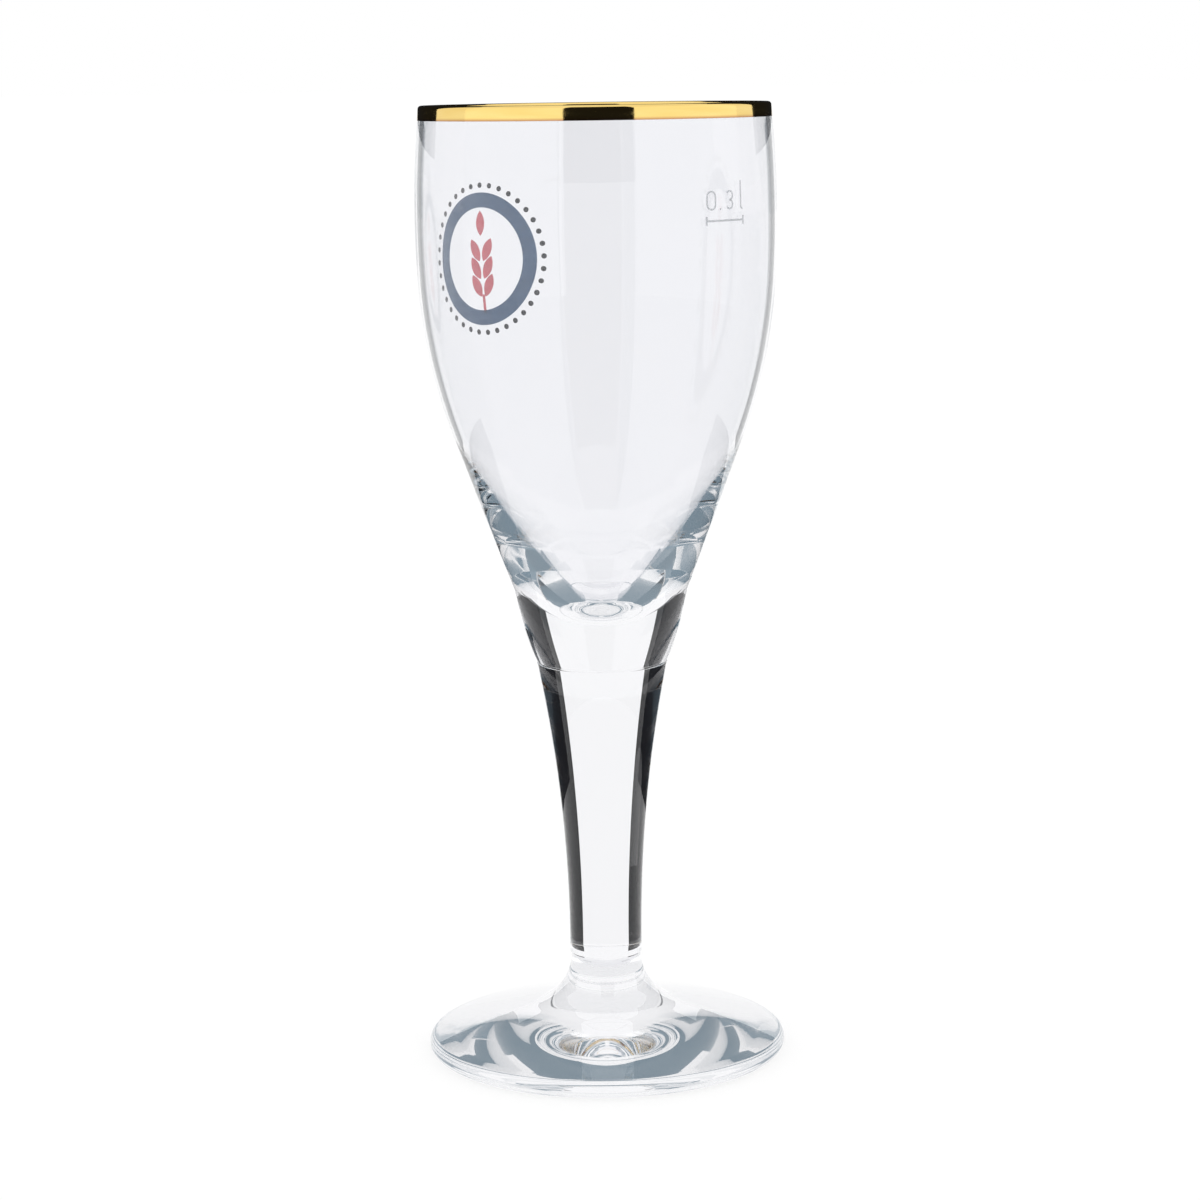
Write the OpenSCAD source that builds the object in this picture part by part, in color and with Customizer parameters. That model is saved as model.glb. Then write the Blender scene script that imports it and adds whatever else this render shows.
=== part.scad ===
// Stemmed chalice beer glass: a thin blown bowl, a drawn solid stem and a pressed foot,
// fused face to face, with a fired gold lip band, a three-colour enamel medallion and a fill line.
// The origin is the centre of the foot's underside, +Z is up, and lengths are in millimetres.

/* [Bowl] */
// Height of the bowl, from its seam with the stem to the rim
bowl_h = 130.4; // [115:0.1:150]
// Largest outer diameter of the bowl
belly_d = 84; // [76:0.5:94]
// Depth of the largest diameter below the rim
belly_drop = 26; // [16:0.5:34]
// Radius of the long arc that runs from the rim down past the belly
belly_arc_r = 244; // [160:1:360]
// Depth below the belly at which the long arc passes into the shoulder
shoulder_drop = 13; // [8:0.5:18]
// Thickness of the bowl's wall
wall = 1.5; // [1.1:0.1:2.2]
// Solid glass between the seam and the bottom of the cavity
floor_t = 11.2; // [8:0.1:15]
// Radius of the cavity's round bottom
floor_arc_r = 14; // [9:0.5:18]
// Height of the rounded butt under the bowl's cone
butt_h = 17.4; // [14:0.1:22]
// Diameter where the cone meets the butt
butt_d = 41.2; // [38:0.1:45]
// How far the butt's side swells beyond a straight taper
butt_swell = 0.4; // [0.2:0.05:0.8]

/* [Stem] */
// Length of the stem between its two seams
stem_l = 71.2; // [55:0.1:95]
// Diameter at the seam between the bowl and the stem
seam_d = 31; // [27:0.1:35]
// Diameter of the stem at its slimmest
stem_d = 17.2; // [13:0.1:21]
// Length of the straight stretch at the stem's lower end
stem_straight_l = 3.6; // [2:0.1:10]
// Depth of the rounded groove that each seam leaves
seam_groove = 0.3; // [0.1:0.05:0.5]

/* [Foot] */
// Diameter of the foot
foot_d = 85.6; // [76:0.1:96]
// Height of the foot with its neck
foot_h = 23.4; // [20:0.1:28]
// Thickness of the foot's round edge
foot_edge_h = 4.2; // [3:0.1:5.5]
// Radius of the flare between the neck and the disc
flare_arc_r = 13.5; // [10:0.1:16]
// Width of the flat ring that the foot stands on
foot_ring_w = 4.5; // [3:0.1:8]
// Height of the shallow hollow under the foot
foot_hollow_h = 1.2; // [0.5:0.1:2.5]

/* [Gold band] */
// Height of the gold on the outside of the lip
band_h = 3.3; // [2:0.1:6]
// Height of the gold on the inside of the lip
band_inner_h = 1.6; // [1.2:0.1:3]
// Thickness of the fired gold
band_t = 0.08; // [0.05:0.01:0.15]

/* [Medallion] */
// Direction that the medallion faces, in degrees about the axis
medallion_angle = 133.5; // [90:0.5:180]
// Depth of the medallion's centre below the rim
medallion_drop = 37; // [30:0.5:44]
// Thickness of the fired enamel
enamel_t = 0.08; // [0.05:0.01:0.15]
// Outer diameter of the blue ring
ring_d = 32; // [26:0.5:36]
// Width of the blue ring
ring_w = 3.6; // [2:0.1:5]
// Diameter of the circle that the dark beads lie on
bead_circle_d = 35.5; // [34.5:0.5:39]
// Diameter of a bead
bead_d = 1.3; // [0.8:0.1:1.8]
// Number of beads
bead_count = 36; // [18:1:48]
// Length of a barley grain
grain_l = 6; // [4.5:0.1:7]
// Width of a barley grain
grain_w = 2.7; // [1.8:0.1:3]
// Height from one pair of grains to the next
grain_pitch = 4.3; // [3.8:0.1:4.8]
// Lean of the grains off the stalk, in degrees
grain_lean = 27; // [18:1:34]
// Length of the stalk under the ear
stalk_l = 4.5; // [2:0.1:6]
// Width of the stalk
stalk_w = 0.8; // [0.5:0.1:1.2]

/* [Fill line] */
// Direction that the fill line faces, in degrees about the axis
fill_angle = -46.5; // [-90:0.5:0]
// Depth of the fill line below the rim
fill_drop = 25.8; // [18:0.1:34]
// Length of the fill line
fill_l = 12; // [8:0.5:16]
// Thickness of the fill line's stroke
fill_stroke = 0.45; // [0.3:0.05:0.8]
// Height of the ticks at the fill line's ends
fill_tick_h = 2; // [1.2:0.1:3]

/* [Hidden] */
$fn = 96;
// Straight facets along each arc of a half-section
arc_steps = 16;

// Overrun of every cut past the solid that it cuts
overrun = 1;
// Half-width of the plane that the half-sections are drawn in
reach = belly_d + foot_d;

// Heights above the table
stem_z = foot_h;
seam_z = stem_z + stem_l;
rim_z = seam_z + bowl_h;
belly_z = rim_z - belly_drop;
butt_z = seam_z + butt_h;
floor_z = seam_z + floor_t;

// Long arc of the belly, which is level at the largest diameter
belly_r = belly_d / 2;
belly_c = [belly_r - belly_arc_r, belly_z];
lip_r = wall / 2;
lip_arc_r = belly_arc_r - lip_r;
lip_a = asin((belly_drop - lip_r) / lip_arc_r);
lip_c = belly_c + lip_arc_r * [cos(lip_a), sin(lip_a)];

// Shoulder arc, tangent to the belly arc above it and to the cavity's round bottom below it
shoulder_a = asin(shoulder_drop / belly_arc_r);
shoulder_n = [cos(shoulder_a), -sin(shoulder_a)];
shoulder_p = belly_c + belly_arc_r * shoulder_n;
cavity_p = shoulder_p - wall * shoulder_n;
floor_c = [0, floor_z + floor_arc_r];
floor_v = floor_c - cavity_p;
cavity_arc_r = (floor_arc_r ^ 2 - floor_v * floor_v) / (2 * (floor_v * shoulder_n + floor_arc_r));
shoulder_arc_r = cavity_arc_r + wall;
shoulder_c = shoulder_p - shoulder_arc_r * shoulder_n;
floor_a = atan2(floor_c.y - shoulder_c.y, floor_c.x - shoulder_c.x);

// Cone, tangent to the shoulder arc and running down to the butt
butt_p = [butt_d / 2, butt_z];
butt_v = butt_p - shoulder_c;
cone_a = atan2(butt_v.y, butt_v.x) + acos(shoulder_arc_r / norm(butt_v));

// Butt arc, from the end of the cone to the seam
seam_p = [seam_d / 2, seam_z];
butt_chord = butt_p - seam_p;
butt_arc_r = (norm(butt_chord) ^ 2 / 4 + butt_swell ^ 2) / (2 * butt_swell);
butt_n = [butt_chord.y, -butt_chord.x] / norm(butt_chord);
butt_c = (butt_p + seam_p) / 2 - (butt_arc_r - butt_swell) * butt_n;

// Stem arc, upright where it leaves the straight stretch
stem_r = stem_d / 2;
stem_arc_l = stem_l - stem_straight_l;
stem_flare = (seam_d - stem_d) / 2;
stem_arc_r = (stem_arc_l ^ 2 + stem_flare ^ 2) / (2 * stem_flare);
stem_c = [stem_r + stem_arc_r, stem_z + stem_straight_l];
stem_top_a = 180 - asin(stem_arc_l / stem_arc_r);

// Foot: a round edge and a flare, joined by the straight line that is tangent to both
foot_r = foot_d / 2;
neck_r = stem_r - seam_groove;
edge_r = foot_edge_h / 2;
edge_c = [foot_r - edge_r, edge_r];
flare_c = [neck_r + flare_arc_r, foot_h];
flare_v = flare_c - edge_c;
top_a = atan2(flare_v.y, flare_v.x) + asin((edge_r + flare_arc_r) / norm(flare_v));
hollow_rim_r = edge_c.x - foot_ring_w;
hollow_arc_r = (hollow_rim_r ^ 2 + foot_hollow_h ^ 2) / (2 * foot_hollow_h);
hollow_c = [0, foot_hollow_h - hollow_arc_r];
hollow_a = acos(hollow_rim_r / hollow_arc_r);

// Medallion and fill line
medallion_z = rim_z - medallion_drop;
medallion_r = (bead_circle_d + bead_d) / 2;
fill_z = rim_z - fill_drop;
grain_arc_r = (grain_l ^ 2 + grain_w ^ 2) / (4 * grain_w);
// Where the grains of the ear sit along it, in pitches from its middle
grain_row_shares = [-1.5, -0.5, 0.5];
// How far a grain's middle stands off the stalk, in grain widths
grain_stand_share = 0.72;

// Points along an arc about a centre
function arc(c, r, a_from, a_to) = [
    for (i = [0 : arc_steps])
        let (a = a_from + (a_to - a_from) * i / arc_steps)
        c + r * [cos(a), sin(a)]
];

// The angle at which a point lies about a centre
function angle_of(p, c) = atan2(p.y - c.y, p.x - c.x);

// A list of points without its first, which an arc before it already ends on
function rest(points) = [for (i = [1 : len(points) - 1]) points[i]];

// A list of points in the other order
function flip(points) = [for (i = [len(points) - 1 : -1 : 0]) points[i]];

// Outside and inside of the wall along the belly's arc, and the half-round lip, grown by a skin
function belly_out(skin = 0) = arc(belly_c, belly_arc_r + skin, lip_a, -shoulder_a);
function belly_in(skin = 0) = arc(belly_c, belly_arc_r - wall - skin, -shoulder_a, lip_a);
function lip(skin = 0) = arc(lip_c, lip_r + skin, lip_a + 180, lip_a);

// Outside of the bowl from the lip to the cone
function side(skin = 0) =
    concat(belly_out(skin), rest(arc(shoulder_c, shoulder_arc_r + skin, -shoulder_a, cone_a)));

// Inside of the bowl from the bottom of the cavity to the lip
function cavity() = concat(
    arc(floor_c, floor_arc_r, -90, floor_a),
    rest(arc(shoulder_c, cavity_arc_r, floor_a, -shoulder_a)),
    rest(belly_in())
);

// Outside of the bowl's butt, from the end of the cone to the seam
function butt() = arc(butt_c, butt_arc_r, angle_of(butt_p, butt_c), angle_of(seam_p, butt_c));

// Round groove left around a seam
module groove(p) {
    translate(p) circle(r = seam_groove);
}

module bowl() {
    color([0.86, 0.91, 0.93, 0.45]) rotate_extrude() difference() {
        polygon(concat(cavity(), rest(lip()), rest(side()), butt(), [[0, seam_z]]));
        groove(seam_p);
    }
}

module stem() {
    stem_p = [stem_r, stem_z];
    color([0.84, 0.90, 0.92, 0.45]) rotate_extrude() difference() {
        polygon(concat([[0, stem_z], stem_p], arc(stem_c, stem_arc_r, 180, stem_top_a), [[0, seam_z]]));
        groove(seam_p);
        groove(stem_p);
    }
}

module foot() {
    color([0.84, 0.90, 0.92, 0.45]) rotate_extrude() polygon(concat(
        [[0, foot_h]],
        arc(flare_c, flare_arc_r, 180, top_a + 90),
        arc(edge_c, edge_r, top_a - 90, -90),
        arc(hollow_c, hollow_arc_r, hollow_a, 90)
    ));
}

// Half-section of the wall above the shoulder, grown by a skin
module wall_section(skin = 0) {
    polygon(concat(belly_in(skin), rest(lip(skin)), rest(belly_out(skin))));
}

// Gold over the lip: down the outside by the band's height, and a little way inside
module gold_band() {
    color([0.83, 0.62, 0.20]) rotate_extrude() intersection() {
        difference() {
            wall_section(band_t);
            wall_section();
        }
        union() {
            translate([lip_c.x, rim_z - band_h]) square([reach, band_h + overrun]);
            translate([0, rim_z - band_inner_h]) square([lip_c.x, band_inner_h + overrun]);
        }
    }
}

// Enamel skin that lies on the bowl, as far as a flat figure reaches when it is pressed on
// from one direction at one height
module enamel(angle, z, half_w, half_h) {
    half_a = asin((half_w + overrun) / belly_r);
    rotate([0, 0, angle]) intersection() {
        rotate([0, 0, -half_a]) rotate_extrude(angle = 2 * half_a) intersection() {
            polygon(concat(side(enamel_t), flip(side())));
            translate([0, z - half_h - overrun]) square([reach, 2 * (half_h + overrun)]);
        }
        translate([0, 0, z]) rotate([90, 0, 90]) linear_extrude(height = reach) children();
    }
}

module emblem_ring() {
    color([0.29, 0.40, 0.52])
    enamel(medallion_angle, medallion_z, medallion_r, medallion_r) difference() {
        circle(d = ring_d);
        circle(d = ring_d - 2 * ring_w);
    }
}

module emblem_beads() {
    color([0.10, 0.10, 0.13])
    enamel(medallion_angle, medallion_z, medallion_r, medallion_r)
        for (i = [0 : bead_count - 1])
            rotate(i * 360 / bead_count) translate([bead_circle_d / 2, 0]) circle(d = bead_d);
}

// A barley grain: the lens between two arcs
module grain() {
    intersection() {
        translate([grain_arc_r - grain_w / 2, 0]) circle(r = grain_arc_r);
        translate([grain_w / 2 - grain_arc_r, 0]) circle(r = grain_arc_r);
    }
}

module emblem_ear() {
    color([0.80, 0.30, 0.34])
    enamel(medallion_angle, medallion_z, medallion_r, medallion_r) {
        for (row = grain_row_shares, side = [-1, 1])
            translate([side * grain_stand_share * grain_w, row * grain_pitch])
                rotate(-side * grain_lean) grain();
        translate([0, 2 * grain_pitch]) grain();
        translate([-stalk_w / 2, -2 * grain_pitch - stalk_l]) square([stalk_w, stalk_l]);
    }
}

module fill_line() {
    color([0.90, 0.91, 0.92])
    enamel(fill_angle, fill_z, fill_l / 2, fill_tick_h / 2) {
        square([fill_l, fill_stroke], center = true);
        for (side = [-1, 1])
            translate([side * (fill_l - fill_stroke) / 2, 0])
                square([fill_stroke, fill_tick_h], center = true);
    }
}

bowl();
stem();
foot();
gold_band();
emblem_ring();
emblem_beads();
emblem_ear();
fill_line();
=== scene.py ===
import math

import bmesh
import bpy
from mathutils import Matrix, Vector


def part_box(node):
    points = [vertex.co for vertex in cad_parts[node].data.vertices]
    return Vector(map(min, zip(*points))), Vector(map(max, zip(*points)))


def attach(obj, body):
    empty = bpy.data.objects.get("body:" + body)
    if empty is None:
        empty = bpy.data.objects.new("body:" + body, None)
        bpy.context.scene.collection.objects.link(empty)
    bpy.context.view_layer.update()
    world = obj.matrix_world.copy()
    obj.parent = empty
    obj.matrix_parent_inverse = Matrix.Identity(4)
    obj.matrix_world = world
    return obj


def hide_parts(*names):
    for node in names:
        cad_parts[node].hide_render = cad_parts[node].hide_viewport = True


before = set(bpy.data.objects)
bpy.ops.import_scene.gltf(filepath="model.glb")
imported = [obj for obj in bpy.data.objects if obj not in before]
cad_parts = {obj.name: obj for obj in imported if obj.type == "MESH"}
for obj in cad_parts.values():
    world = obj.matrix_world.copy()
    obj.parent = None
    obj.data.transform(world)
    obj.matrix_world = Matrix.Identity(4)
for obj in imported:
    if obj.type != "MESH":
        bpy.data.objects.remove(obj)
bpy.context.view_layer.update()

# The glass is turned from smooth half-sections, in millimetres, with r and z as x and y.
MM = 0.001
SEGMENTS = 192
ARC_STEPS = 40
SHARP_ANGLE = 32
TINY = 0.001
GROOVE_STEPS = 8
BAND_STEPS = (10, 24, 6)

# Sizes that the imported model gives
RIM_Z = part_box("bowl")[1].z / MM
SEAM_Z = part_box("stem")[1].z / MM
NECK_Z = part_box("foot")[1].z / MM
BELLY_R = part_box("bowl")[1].x / MM
FOOT_R = min(-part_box("foot")[0].x, -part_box("foot")[0].y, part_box("foot")[1].y) / MM

# Bowl
BELLY_DROP = 26
BELLY_ARC_R = 244
SHOULDER_DROP = 13
WALL = 1.5
FLOOR_T = 11.2
FLOOR_ARC_R = 14
BUTT_H = 17.4
BUTT_R = 20.6
BUTT_SWELL = 0.4

# Stem and seams
SEAM_R = 15.5
STEM_R = 8.6
STEM_STRAIGHT_L = 3.6
SEAM_GROOVE = 0.3

# Foot
FOOT_EDGE_R = 2.1
FLARE_ARC_R = 13.5
FOOT_RING_W = 4.5
FOOT_HOLLOW_H = 1.2

# Gold band and enamel
BAND_H = 3.3
BAND_INNER_H = 1.6
FILM_T = 0.07
FILM_GAP = 0.01
GOLD_EDGE_H = 0.7

# Capacity numerals above the fill line
FILL_ANGLE = -46.5
FILL_DROP = 25.8
DIGIT_RISE = 2.5
DIGIT_H = 4.0
DIGIT_W = 2.4
LITRE_H = 6.2
NUMERAL_STROKE = 0.4
ZERO_X = -4.4
POINT_X = -1.7
POINT_RISE = 0.1
THREE_X = 1.2
THREE_BOW_SHARE = 0.8
LITRE_X = 5.0
LITRE_HOOK_R = 0.6
ZERO_STEPS = 12
THREE_STEPS = 14
HOOK_STEPS = 8

# Colours and optics of the materials
GLASS_TINT = (0.935, 0.937, 0.955)
GLASS_IOR = 1.52
GOLD_DEEP = (0.86, 0.58, 0.16)
GOLD_PALE = (0.98, 0.76, 0.30)
GOLD_BROWN = (0.48, 0.23, 0.12)
NOISE_LOW = 0.3
NOISE_HIGH = 0.7
COAT_PALER = 1.12
COAT_SPREAD = 0.04

# Camera, in metres and degrees
CAMERA_PLACE = Vector((0, -0.7312, 0.2311))
CAMERA_PITCH = 9.482
CAMERA_YAW = 0.024
CAMERA_ROLL = -0.8
CAMERA_LENS = 94.0

# Studio colours and levels
WHITE = (1, 1, 1)
STUDIO_COLOUR = (0.22, 0.29, 0.34)
BLACK_CLOTH = (0.012, 0.012, 0.014)
GREY_CLOTH = (0.08, 0.09, 0.10)
SOFT_BOX_LIGHT = 1.15
FLOOR_GLOW = 0.82
FLOOR_COLOUR = (0.2, 0.2, 0.2)
FLOOR_HALF = 60.0
FLOOR_DROP = 0.0003

# Counts of surfaces, first and last, after which a card shows
BOUNCES = 80
CLEAR_BOUNCES = 24
MIRRORED_DEPTHS = (1, 1)
SOLID_DEPTHS = (2, 2)
TURNED_DEPTHS = (3, 3)
CORNER_DEPTHS = (4, 7)
BACK_WALL_DEPTHS = (5, 5)
THICK_GLASS_DEPTHS = (6, BOUNCES)

# Cards: radii and heights in metres, near edge first, and spans in degrees right of straight behind
CARD_STEPS = 16
STUDIO_RADII = (0.9, 0.9)
STUDIO_HEIGHTS = (0.0, 0.9)
LEFT_BOX_SPAN = (-161, -90)
RIGHT_BOX_SPAN = (78, 155)
FRONT_SPAN = (156, 198)
FRONT_SOLID_SPAN = (156, 204)
FRONT_FLOOR_RADII = (0.06, 0.9)
FRONT_FLOOR_HEIGHTS = (0.0006, 0.0006)
GOLD_RADII = (0.4, 0.4)
GOLD_HEIGHTS = (0.2235, 0.7)
GOLD_BACK_SPAN = (-62, 62)
GOLD_FRONT_SPAN = (156, 199)
SKY_RADII = (0.9, 0.6)
SKY_HEIGHTS = (0.16, 1.2)
SKY_SPAN = (-89, 77)
STEM_SPAN = (26, 88)
STEM_RADII = (0.07, 0.135)
STEM_HEIGHTS = (0.0, 0.10)
STEM_GLOSS_RADII = (0.09, 0.135)
STEM_GLOSS_HEIGHTS = (0.034, 0.10)
BUTT_RADII = (0.135, 0.20)
BUTT_HEIGHTS = (0.10, 0.20)
CORNER_RADII = (0.071, 0.117)
CORNER_HEIGHTS = (0.0, 0.07)
WALL_SPAN = (20, 36)
WALL_RADII = (0.5, 12.0)
WALL_HEIGHTS = (0.0005, 0.0005)
WALL_BACK_RADII = (12.0, 12.0)
WALL_BACK_HEIGHTS = (0.0, 0.6)


def arc(centre, radius, start, end, steps=ARC_STEPS):
    """Points along an arc of a half-section, with its angles in degrees."""
    turn = [math.radians(start + (end - start) * i / steps) for i in range(steps + 1)]
    return [centre + radius * Vector((math.cos(a), math.sin(a))) for a in turn]


def bearing(p, centre):
    """The angle at which a point lies about a centre, in degrees."""
    return math.degrees(math.atan2(p.y - centre.y, p.x - centre.x))


# Arcs of the bowl's wall, each tangent to the next
BELLY_C = Vector((BELLY_R - BELLY_ARC_R, RIM_Z - BELLY_DROP))
LIP_R = WALL / 2
LIP_A = math.degrees(math.asin((BELLY_DROP - LIP_R) / (BELLY_ARC_R - LIP_R)))
LIP_C = arc(BELLY_C, BELLY_ARC_R - LIP_R, LIP_A, LIP_A, 1)[0]
SHOULDER_A = math.degrees(math.asin(SHOULDER_DROP / BELLY_ARC_R))
SHOULDER_N = arc(Vector((0, 0)), 1, -SHOULDER_A, -SHOULDER_A, 1)[0]
SHOULDER_P = BELLY_C + BELLY_ARC_R * SHOULDER_N
FLOOR_C = Vector((0, SEAM_Z + FLOOR_T + FLOOR_ARC_R))
FLOOR_V = FLOOR_C - (SHOULDER_P - WALL * SHOULDER_N)
FLOOR_SUM = FLOOR_V.dot(SHOULDER_N) + FLOOR_ARC_R
CAVITY_ARC_R = (FLOOR_ARC_R ** 2 - FLOOR_V.dot(FLOOR_V)) / (2 * FLOOR_SUM)
SHOULDER_ARC_R = CAVITY_ARC_R + WALL
SHOULDER_C = SHOULDER_P - SHOULDER_ARC_R * SHOULDER_N
BUTT_P = Vector((BUTT_R, SEAM_Z + BUTT_H))
CONE_TURN = math.degrees(math.acos(SHOULDER_ARC_R / (BUTT_P - SHOULDER_C).length))
CONE_A = bearing(BUTT_P, SHOULDER_C) + CONE_TURN
SEAM_P = Vector((SEAM_R, SEAM_Z))


def side_radius(z):
    """Outer radius of the bowl at a height above its shoulder."""
    return BELLY_C.x + math.sqrt(BELLY_ARC_R ** 2 - (z - BELLY_C.y) ** 2)


def bulged(start, end, swell):
    """Points along the arc from start to end that stands out from its chord by a swell."""
    chord = start - end
    radius = (chord.length_squared / 4 + swell ** 2) / (2 * swell)
    out = Vector((chord.y, -chord.x)).normalized()
    centre = (start + end) / 2 - (radius - swell) * out
    return arc(centre, radius, bearing(start, centre), bearing(end, centre))


def grooved(points, centre):
    """Points of an outline that lie outside the round groove at a seam."""
    return [p for p in points if (p - centre).length > SEAM_GROOVE]


def bowl_outline():
    """From the bottom of the cavity, up the inside, over the lip and down to the seam."""
    floor_a = bearing(FLOOR_C, SHOULDER_C)
    cavity = (
        arc(FLOOR_C, FLOOR_ARC_R, -90, floor_a)
        + arc(SHOULDER_C, CAVITY_ARC_R, floor_a, -SHOULDER_A)[1:]
        + arc(BELLY_C, BELLY_ARC_R - WALL, -SHOULDER_A, LIP_A)[1:]
    )
    lip = arc(LIP_C, LIP_R, LIP_A + 180, LIP_A)[1:]
    side = (
        arc(BELLY_C, BELLY_ARC_R, LIP_A, -SHOULDER_A)[1:]
        + arc(SHOULDER_C, SHOULDER_ARC_R, -SHOULDER_A, CONE_A)[1:]
    )
    butt = grooved(bulged(BUTT_P, SEAM_P, BUTT_SWELL), SEAM_P)
    groove = arc(SEAM_P, SEAM_GROOVE, bearing(butt[-1], SEAM_P), 180, GROOVE_STEPS)
    return cavity + lip + side + butt + groove + [Vector((0, SEAM_Z))]


def stem_outline():
    """From the middle of the upper seam, down the side to the middle of the lower one."""
    straight_z = NECK_Z + STEM_STRAIGHT_L
    length, flare = SEAM_Z - straight_z, SEAM_R - STEM_R
    radius = (length ** 2 + flare ** 2) / (2 * flare)
    centre = Vector((STEM_R + radius, straight_z))
    foot_p = Vector((STEM_R, NECK_Z))
    side = grooved(arc(centre, radius, bearing(SEAM_P, centre) % 360, 180), SEAM_P)
    upper = arc(SEAM_P, SEAM_GROOVE, -180, bearing(side[0], SEAM_P), GROOVE_STEPS)
    lower = arc(foot_p, SEAM_GROOVE, 90, 180, GROOVE_STEPS)
    return [Vector((0, SEAM_Z))] + upper + side + lower + [Vector((0, NECK_Z))]


def foot_outline():
    """From the middle of the lower seam, down the flare, round the edge and under the foot."""
    edge_c = Vector((FOOT_R - FOOT_EDGE_R, FOOT_EDGE_R))
    neck_r = STEM_R - SEAM_GROOVE
    flare_c = Vector((neck_r + FLARE_ARC_R, NECK_Z))
    apart = flare_c - edge_c
    lean = math.degrees(math.asin((FOOT_EDGE_R + FLARE_ARC_R) / apart.length))
    top_a = bearing(flare_c, edge_c) + lean
    hollow_r = edge_c.x - FOOT_RING_W
    hollow_arc_r = (hollow_r ** 2 + FOOT_HOLLOW_H ** 2) / (2 * FOOT_HOLLOW_H)
    hollow_c = Vector((0, FOOT_HOLLOW_H - hollow_arc_r))
    hollow_a = math.degrees(math.acos(hollow_r / hollow_arc_r))
    return (
        [Vector((0, NECK_Z))]
        + arc(flare_c, FLARE_ARC_R, 180, top_a + 90)
        + arc(edge_c, FOOT_EDGE_R, top_a - 90, -90)
        + arc(hollow_c, hollow_arc_r, hollow_a, 90)
    )


def band_outline():
    """Closed section of the gold, from its outer lower edge over the lip and back on the glass."""
    out_a = math.degrees(math.asin((BELLY_DROP - BAND_H) / BELLY_ARC_R))
    in_a = math.degrees(math.asin((BELLY_DROP - BAND_INNER_H) / (BELLY_ARC_R - WALL)))
    out_steps, lip_steps, in_steps = BAND_STEPS

    def skin(grow):
        return (
            arc(BELLY_C, BELLY_ARC_R + grow, out_a, LIP_A, out_steps)
            + arc(LIP_C, LIP_R + grow, LIP_A, LIP_A + 180, lip_steps)[1:]
            + arc(BELLY_C, BELLY_ARC_R - WALL - grow, LIP_A, in_a, in_steps)[1:]
        )

    return skin(FILM_T) + skin(FILM_GAP)[::-1]


def placed(bm, radius, turn, z):
    """A vertex at a radius and a height in millimetres, turned about the axis."""
    return bm.verts.new(MM * Vector((radius * math.cos(turn), radius * math.sin(turn), z)))


def lathe(name, outline, materials, closed=False, cap_heights=()):
    """Turns an outline about the axis; faces that lie flat at a cap height take the second material."""
    bm = bmesh.new()
    rings = []
    for p in outline:
        count = 1 if p.x < TINY else SEGMENTS
        turns = [2 * math.pi * i / SEGMENTS for i in range(count)]
        rings.append([placed(bm, p.x, t, p.y) for t in turns])
    pairs = list(zip(rings, rings[1:], outline, outline[1:]))
    if closed:
        pairs.append((rings[-1], rings[0], outline[-1], outline[0]))
    for ring, following, p, q in pairs:
        is_cap = any(abs(p.y - z) < TINY and abs(q.y - z) < TINY for z in cap_heights)
        for i in range(SEGMENTS):
            j = (i + 1) % SEGMENTS
            corners = [ring[i % len(ring)], ring[j % len(ring)]]
            corners += [following[j % len(following)], following[i % len(following)]]
            face = bm.faces.new(list(dict.fromkeys(corners)))
            face.smooth = True
            face.material_index = 1 if is_cap else 0
    bmesh.ops.recalc_face_normals(bm, faces=bm.faces)
    return finished_mesh(name, bm, materials)


def finished_mesh(name, bm, materials):
    """An object made from a bmesh, with its materials and its sharp edges."""
    mesh = bpy.data.meshes.new(name)
    bm.to_mesh(mesh)
    bm.free()
    mesh.set_sharp_from_angle(angle=math.radians(SHARP_ANGLE))
    for material in materials:
        mesh.materials.append(material)
    made = bpy.data.objects.new(name, mesh)
    bpy.context.scene.collection.objects.link(made)
    return made


# Materials


def add(tree, kind, sockets=None, **settings):
    """A node with its settings, and with each input set to a value or linked from another socket."""
    made = tree.nodes.new(kind)
    for name, value in settings.items():
        setattr(made, name, value)
    for name, value in (sockets or {}).items():
        if isinstance(value, bpy.types.NodeSocket):
            tree.links.new(value, made.inputs[name])
        else:
            made.inputs[name].default_value = value
    return made


def new_material(name):
    """An empty node material, with its tree."""
    material = bpy.data.materials.new(name)
    material.use_nodes = True
    material.node_tree.nodes.clear()
    return material, material.node_tree


def close(tree, shader):
    """Links a shader to the material's output."""
    add(tree, "ShaderNodeOutputMaterial", {"Surface": shader})


def noise(tree, place, scale, detail=2.0, stretch=(1, 1, 1)):
    """A noise texture in object space, in metres, stretched along the axes."""
    mapped = add(tree, "ShaderNodeMapping", {"Vector": place, "Scale": stretch})
    fine = {"Vector": mapped.outputs["Vector"], "Scale": scale, "Detail": detail}
    return add(tree, "ShaderNodeTexNoise", fine).outputs["Fac"]


def ranged(tree, value, low, high, from_low=NOISE_LOW, from_high=NOISE_HIGH):
    """A value brought from one range into another."""
    sockets = {"Value": value, "From Min": from_low, "From Max": from_high, "To Min": low, "To Max": high}
    return add(tree, "ShaderNodeMapRange", sockets).outputs["Result"]


def rgba(colour):
    """An opaque colour for a socket."""
    return (*colour, 1)


def blended(tree, fac, first, second):
    """A colour between two others, each an RGBA colour or a socket."""
    sockets = {"Factor": fac, 6: first, 7: second}
    return add(tree, "ShaderNodeMix", sockets, data_type="RGBA").outputs[2]


def bumped(tree, height, strength, distance):
    """A normal that a height disturbs, with the bump's distance in millimetres."""
    sockets = {"Strength": strength, "Distance": distance * MM, "Height": height}
    return add(tree, "ShaderNodeBump", sockets).outputs["Normal"]


def object_place(tree):
    """Object coordinates, in metres."""
    return add(tree, "ShaderNodeTexCoord").outputs["Object"]


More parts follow.
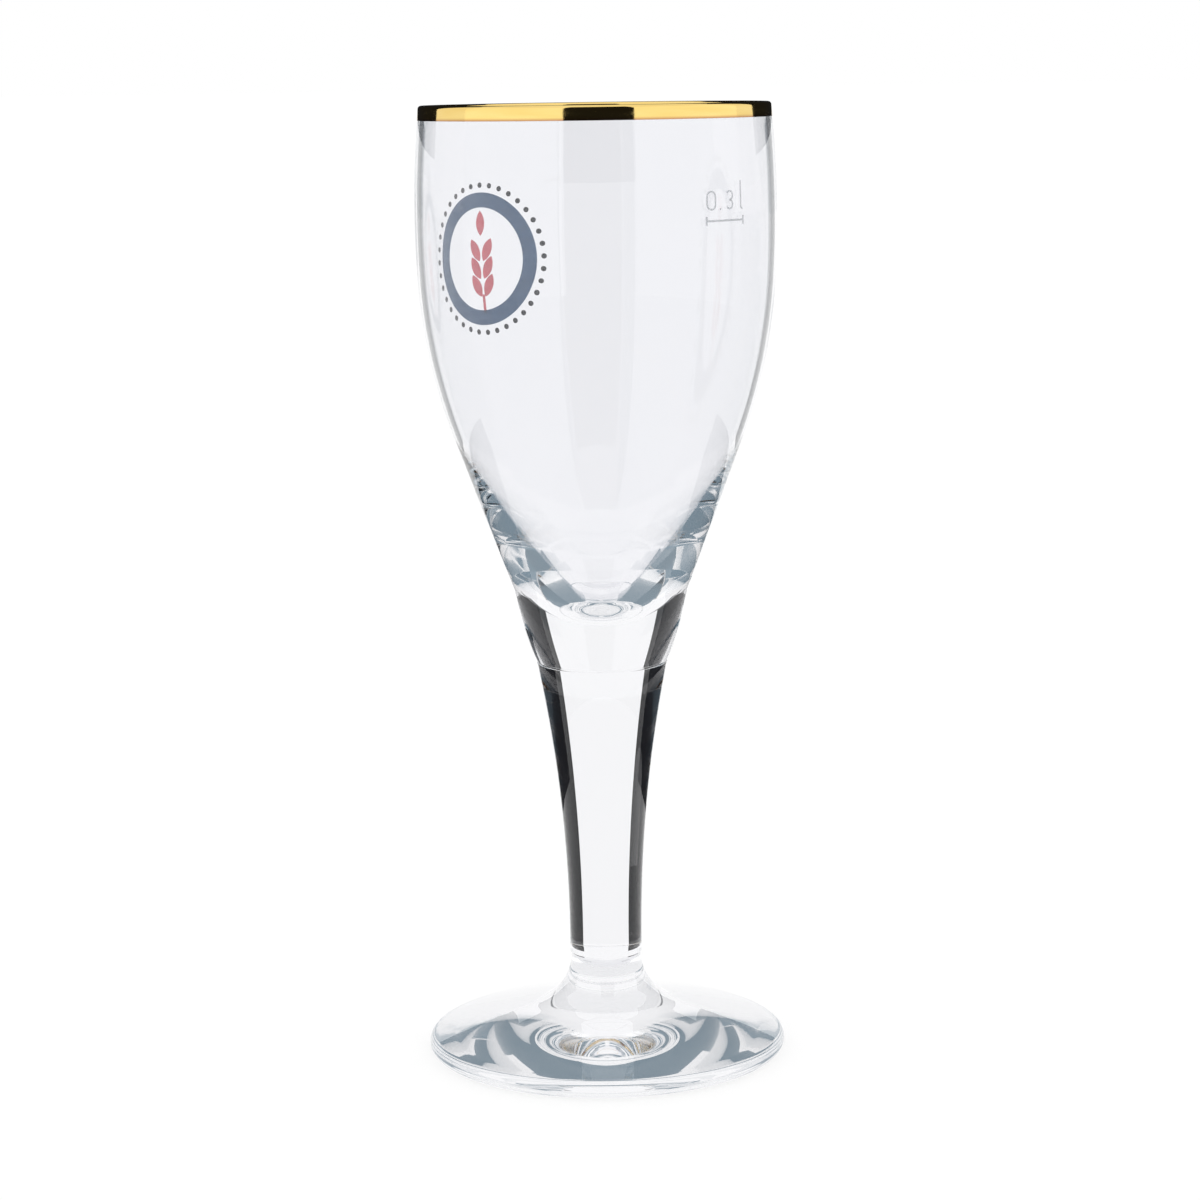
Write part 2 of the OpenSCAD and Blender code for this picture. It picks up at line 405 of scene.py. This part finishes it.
def glass_material():
    """Clear soda-lime glass with the faint ripple and smear of a pressed and polished surface."""
    material, tree = new_material("clear_glass")
    place = object_place(tree)
    ripple = noise(tree, place, scale=55.0, detail=1.5, stretch=(1, 1, 0.45))
    smear = noise(tree, place, scale=160.0, detail=3.0)
    sockets = {
        "Base Color": rgba(GLASS_TINT),
        "Roughness": ranged(tree, smear, 0.0, 0.006),
        "IOR": GLASS_IOR,
        "Transmission Weight": 1.0,
        "Normal": bumped(tree, ripple, strength=0.25, distance=0.12),
    }
    close(tree, add(tree, "ShaderNodeBsdfPrincipled", sockets).outputs["BSDF"])
    return material


def fused_material():
    """The fused seams inside the glass, which nothing marks."""
    material, tree = new_material("fused_seam")
    close(tree, add(tree, "ShaderNodeBsdfTransparent").outputs["BSDF"])
    return material


def gold_material():
    """Fired bright gold, brushed on round the lip, browner along its lower edge."""
    material, tree = new_material("fired_gold")
    place = object_place(tree)
    streak = noise(tree, place, scale=70.0, detail=4.0, stretch=(1, 1, 9))
    speck = noise(tree, place, scale=900.0)
    height = add(tree, "ShaderNodeSeparateXYZ", {"Vector": place}).outputs["Z"]
    edge_z = RIM_Z - BAND_H
    edge = ranged(tree, height, 1.0, 0.0, edge_z * MM, (edge_z + GOLD_EDGE_H) * MM)
    warm = blended(tree, streak, rgba(GOLD_DEEP), rgba(GOLD_PALE))
    sockets = {
        "Base Color": blended(tree, edge, warm, rgba(GOLD_BROWN)),
        "Metallic": 1.0,
        "Roughness": ranged(tree, streak, 0.03, 0.09),
        "Normal": bumped(tree, speck, strength=0.12, distance=0.02),
    }
    close(tree, add(tree, "ShaderNodeBsdfPrincipled", sockets).outputs["BSDF"])
    return material


def enamel_material(name, through, surface, clear):
    """Thin fired enamel that lets light through by a share, with the uneven coat of a screen print."""
    material, tree = new_material(name)
    place = object_place(tree)
    coat = noise(tree, place, scale=420.0, detail=3.0)
    grain = noise(tree, place, scale=2600.0, detail=1.0)
    paler = tuple(min(1.0, COAT_PALER * c) for c in surface)
    sockets = {
        "Base Color": blended(tree, coat, rgba(surface), rgba(paler)),
        "Roughness": ranged(tree, grain, 0.22, 0.40),
        "Normal": bumped(tree, grain, strength=0.2, distance=0.03),
    }
    body = add(tree, "ShaderNodeBsdfPrincipled", sockets).outputs["BSDF"]
    glow = add(tree, "ShaderNodeBsdfTransparent", {"Color": rgba(through)}).outputs["BSDF"]
    share = ranged(tree, coat, clear - COAT_SPREAD, clear + COAT_SPREAD)
    mix = add(tree, "ShaderNodeMixShader", {"Fac": share, 1: body, 2: glow})
    close(tree, mix.outputs["Shader"])
    return material


# Pieces


def dress(piece, slot, *nodes):
    """A piece rides on the one body and stands for its nodes, which it hides; its slot is not used."""
    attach(piece, "root")
    if nodes:
        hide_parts(*nodes)


def dress_node(name, material):
    """A CAD node that keeps its shape gets its finished material."""
    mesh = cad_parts[name].data
    mesh.materials.clear()
    mesh.materials.append(material)


def build_glass():
    """The three bodies of glass, fused at their seams."""
    clear, fused = glass_material(), fused_material()
    bowl = lathe("glass_bowl", bowl_outline(), [clear, fused], cap_heights=[SEAM_Z])
    stem = lathe("glass_stem", stem_outline(), [clear, fused], cap_heights=[SEAM_Z, NECK_Z])
    foot = lathe("glass_foot", foot_outline(), [clear, fused], cap_heights=[NECK_Z])
    for piece, node in ((bowl, "bowl"), (stem, "stem"), (foot, "foot")):
        dress(piece, "clear_glass", node)


def build_gold():
    """The gold over the lip."""
    band = lathe("gold_lip_band", band_outline(), [gold_material()], closed=True)
    dress(band, "fired_gold", "gold_band")


def ribbon(bm, points):
    """A flat stroke along points of the bowl's unrolled surface, in millimetres right and up."""
    half = NUMERAL_STROKE / 2
    base_z = RIM_Z - FILL_DROP
    rails = []
    for i, p in enumerate(points):
        ahead = points[min(i + 1, len(points) - 1)] - points[max(i - 1, 0)]
        across = half * Vector((-ahead.y, ahead.x)).normalized()
        rails.append((p + across, p - across))

    def on_bowl(p, lift):
        radius = side_radius(base_z + p.y) + lift
        turn = math.radians(FILL_ANGLE) + p.x / radius
        return placed(bm, radius, turn, base_z + p.y)

    def section(left, right):
        corners = ((left, FILM_GAP), (left, FILM_T), (right, FILM_T), (right, FILM_GAP))
        return [on_bowl(p, lift) for p, lift in corners]

    loops = [section(left, right) for left, right in rails]
    for a, b in zip(loops, loops[1:]):
        for k in range(len(a)):
            j = (k + 1) % len(a)
            bm.faces.new([a[k], a[j], b[j], b[k]])
    bm.faces.new(loops[0][::-1])
    bm.faces.new(loops[-1])


def build_numerals(material):
    """The capacity in litres, in plain round-cornered strokes above the fill line."""
    bm = bmesh.new()
    half_w, half_h = DIGIT_W / 2, DIGIT_H / 2
    half_stroke = NUMERAL_STROKE / 2
    bow = half_w * THREE_BOW_SHARE

    def at(x, y):
        return Vector((x, DIGIT_RISE + y))

    zero = (
        arc(at(ZERO_X, DIGIT_H - half_w), half_w, 0, 180, ZERO_STEPS)
        + arc(at(ZERO_X, half_w), half_w, 180, 360, ZERO_STEPS)
    )
    ribbon(bm, zero + zero[:1])
    ribbon(bm, [at(POINT_X - half_stroke, POINT_RISE), at(POINT_X + half_stroke, POINT_RISE)])
    ribbon(bm, arc(at(THREE_X, DIGIT_H - bow), bow, 150, -90, THREE_STEPS))
    ribbon(bm, arc(at(THREE_X, half_h - bow), bow, 90, -150, THREE_STEPS))
    hook = arc(at(LITRE_X + LITRE_HOOK_R, LITRE_HOOK_R), LITRE_HOOK_R, 180, 270, HOOK_STEPS)
    ribbon(bm, [at(LITRE_X, LITRE_H), at(LITRE_X, LITRE_H / 2)] + hook)
    bmesh.ops.recalc_face_normals(bm, faces=bm.faces)
    dress(finished_mesh("fill_numerals", bm, [material]), "white_enamel")


def build_enamel():
    """The print and the fill mark."""
    blue = enamel_material("blue_enamel", (0.30, 0.42, 0.56), (0.07, 0.13, 0.23), 0.72)
    red = enamel_material("red_enamel", (0.90, 0.42, 0.46), (0.62, 0.10, 0.13), 0.80)
    dark = enamel_material("dark_enamel", (0.10, 0.10, 0.12), (0.02, 0.02, 0.025), 0.55)
    white = enamel_material("white_enamel", (0.86, 0.87, 0.88), (0.80, 0.81, 0.82), 0.72)
    dress_node("emblem_ring", blue)
    dress_node("emblem_ear", red)
    dress_node("emblem_beads", dark)
    dress_node("fill_line", white)
    build_numerals(white)


# Stage: a white floor and world, two soft boxes and cloth cards that shape what the glass shows


def greater(tree, first, second):
    """The greater of two values."""
    return add(tree, "ShaderNodeMath", {0: first, 1: second}, operation="MAXIMUM").outputs[0]


def seen_share(tree):
    """1 for the rays that show the background: camera, glossy and transmission rays."""
    path = add(tree, "ShaderNodeLightPath").outputs
    looked = greater(tree, path["Is Camera Ray"], path["Is Glossy Ray"])
    return greater(tree, looked, path["Is Transmission Ray"])


def floor_material():
    """White floor that glows where it is seen and keeps a share of plain shading for the shadow."""
    material, tree = new_material("white_floor")
    sockets = {0: seen_share(tree), 1: FLOOR_GLOW}
    strength = add(tree, "ShaderNodeMath", sockets, operation="MULTIPLY").outputs[0]
    glow = add(tree, "ShaderNodeEmission", {"Strength": strength}).outputs["Emission"]
    plain = add(tree, "ShaderNodeBsdfDiffuse", {"Color": rgba(FLOOR_COLOUR)}).outputs["BSDF"]
    close(tree, add(tree, "ShaderNodeAddShader", {0: glow, 1: plain}).outputs["Shader"])
    return material


def depth_share(tree, depths):
    """1 for light that met from the first to the last count of surfaces, and 0 for the rest."""
    first, last = depths
    depth = add(tree, "ShaderNodeLightPath").outputs["Ray Depth"]
    sockets = {0: depth, 1: (first + last) / 2, 2: (last - first) / 2 + 0.5}
    return add(tree, "ShaderNodeMath", sockets, operation="COMPARE").outputs[0]


def soft_box_material():
    """A lit soft box, white in reflections and steel blue to light that was caught in thick glass."""
    material, tree = new_material("soft_box")
    colour = blended(tree, depth_share(tree, THICK_GLASS_DEPTHS), rgba(WHITE), rgba(STUDIO_COLOUR))
    sockets = {"Color": colour, "Strength": SOFT_BOX_LIGHT}
    close(tree, add(tree, "ShaderNodeEmission", sockets).outputs["Emission"])
    return material


def card_material(name, colour, depths):
    """Cloth that shows only to light that met a certain count of surfaces. No real cloth does this: it
    lets one card edge the solid glass and leave the hollow bowl clear."""
    material, tree = new_material(name)
    unseen = add(tree, "ShaderNodeBsdfTransparent").outputs["BSDF"]
    cloth = add(tree, "ShaderNodeEmission", {"Color": rgba(colour)}).outputs["Emission"]
    mix = add(tree, "ShaderNodeMixShader", {"Fac": depth_share(tree, depths), 1: unseen, 2: cloth})
    close(tree, mix.outputs["Shader"])
    return material


def card(name, material, radii, span, heights):
    """Curved card about the axis, from a near to a far edge and between two bearings."""
    bm = bmesh.new()
    start, end = span
    turns = [math.radians(start + (end - start) * i / CARD_STEPS) for i in range(CARD_STEPS + 1)]
    near, far = (
        [bm.verts.new((radius * math.sin(t), radius * math.cos(t), z)) for t in turns]
        for radius, z in zip(radii, heights)
    )
    for i in range(CARD_STEPS):
        bm.faces.new([near[i], near[i + 1], far[i + 1], far[i]])
    made = finished_mesh(name, bm, [material])
    made.visible_camera = False
    made.visible_diffuse = False
    made.visible_shadow = False


def build_floor():
    """A floor that reaches past the horizon, just under the foot."""
    bm = bmesh.new()
    bmesh.ops.create_grid(bm, x_segments=1, y_segments=1, size=FLOOR_HALF)
    floor = finished_mesh("floor", bm, [floor_material()])
    floor.location.z = -FLOOR_DROP


def build_cards():
    """The soft boxes and the cards, which neither the camera nor the floor sees."""
    soft = soft_box_material()
    stem_cloth = card_material("stem_cloth", BLACK_CLOTH, SOLID_DEPTHS)
    wall_cloth = card_material("wall_cloth", GREY_CLOTH, TURNED_DEPTHS)
    corner_cloth = card_material("corner_cloth", STUDIO_COLOUR, CORNER_DEPTHS)
    front_cloth = card_material("front_cloth", GREY_CLOTH, BACK_WALL_DEPTHS)
    solid_cloth = card_material("solid_cloth", BLACK_CLOTH, TURNED_DEPTHS)
    gloss_cloth = card_material("gloss_cloth", BLACK_CLOTH, MIRRORED_DEPTHS)
    sky_cloth = card_material("sky_cloth", STUDIO_COLOUR, THICK_GLASS_DEPTHS)
    card("soft_box_left", soft, STUDIO_RADII, LEFT_BOX_SPAN, STUDIO_HEIGHTS)
    card("soft_box_right", soft, STUDIO_RADII, RIGHT_BOX_SPAN, STUDIO_HEIGHTS)
    card("front_card", front_cloth, STUDIO_RADII, FRONT_SPAN, STUDIO_HEIGHTS)
    card("front_solid_card", solid_cloth, STUDIO_RADII, FRONT_SOLID_SPAN, STUDIO_HEIGHTS)
    card("front_floor_card", solid_cloth, FRONT_FLOOR_RADII, FRONT_SOLID_SPAN, FRONT_FLOOR_HEIGHTS)
    card("gold_card_back", gloss_cloth, GOLD_RADII, GOLD_BACK_SPAN, GOLD_HEIGHTS)
    card("gold_card_front", gloss_cloth, GOLD_RADII, GOLD_FRONT_SPAN, GOLD_HEIGHTS)
    card("sky_card", sky_cloth, SKY_RADII, SKY_SPAN, SKY_HEIGHTS)
    for side, name in ((-1, "left"), (1, "right")):
        stem_span = [side * turn for turn in STEM_SPAN]
        wall_span = [side * turn for turn in WALL_SPAN]
        card("stem_card_" + name, stem_cloth, STEM_RADII, stem_span, STEM_HEIGHTS)
        card("stem_gloss_card_" + name, gloss_cloth, STEM_GLOSS_RADII, stem_span, STEM_GLOSS_HEIGHTS)
        card("butt_card_" + name, stem_cloth, BUTT_RADII, stem_span, BUTT_HEIGHTS)
        card("corner_card_" + name, corner_cloth, CORNER_RADII, stem_span, CORNER_HEIGHTS)
        card("wall_card_" + name, wall_cloth, WALL_RADII, wall_span, WALL_HEIGHTS)
        card("wall_card_back_" + name, wall_cloth, WALL_BACK_RADII, wall_span, WALL_BACK_HEIGHTS)


def build_world():
    """White all round; the cards shape what the glass and the gold show."""
    world = bpy.data.worlds.new("studio")
    bpy.context.scene.world = world
    world.use_nodes = True
    tree = world.node_tree
    tree.nodes.clear()
    sockets = {"Color": rgba(WHITE), "Strength": 1.0}
    back = add(tree, "ShaderNodeBackground", sockets).outputs["Background"]
    add(tree, "ShaderNodeOutputWorld", {"Surface": back})


def build_camera():
    """The camera where the photo was taken from."""
    data = bpy.data.cameras.new("camera")
    data.lens = CAMERA_LENS
    camera = bpy.data.objects.new("camera", data)
    bpy.context.scene.collection.objects.link(camera)
    turn = (
        Matrix.Rotation(math.radians(CAMERA_YAW), 4, "Z")
        @ Matrix.Rotation(math.radians(90 - CAMERA_PITCH), 4, "X")
        @ Matrix.Rotation(math.radians(CAMERA_ROLL), 4, "Z")
    )
    camera.matrix_world = Matrix.Translation(CAMERA_PLACE) @ turn
    bpy.context.scene.camera = camera


def set_render_paths():
    """Enough bounces for light that is caught inside the solid glass."""
    cycles = bpy.context.scene.cycles
    cycles.max_bounces = BOUNCES
    cycles.transmission_bounces = BOUNCES
    cycles.glossy_bounces = BOUNCES
    cycles.transparent_max_bounces = CLEAR_BOUNCES


build_glass()
build_gold()
build_enamel()
build_floor()
build_cards()
build_world()
build_camera()
set_render_paths()
bpy.context.scene.view_settings.view_transform = "Standard"
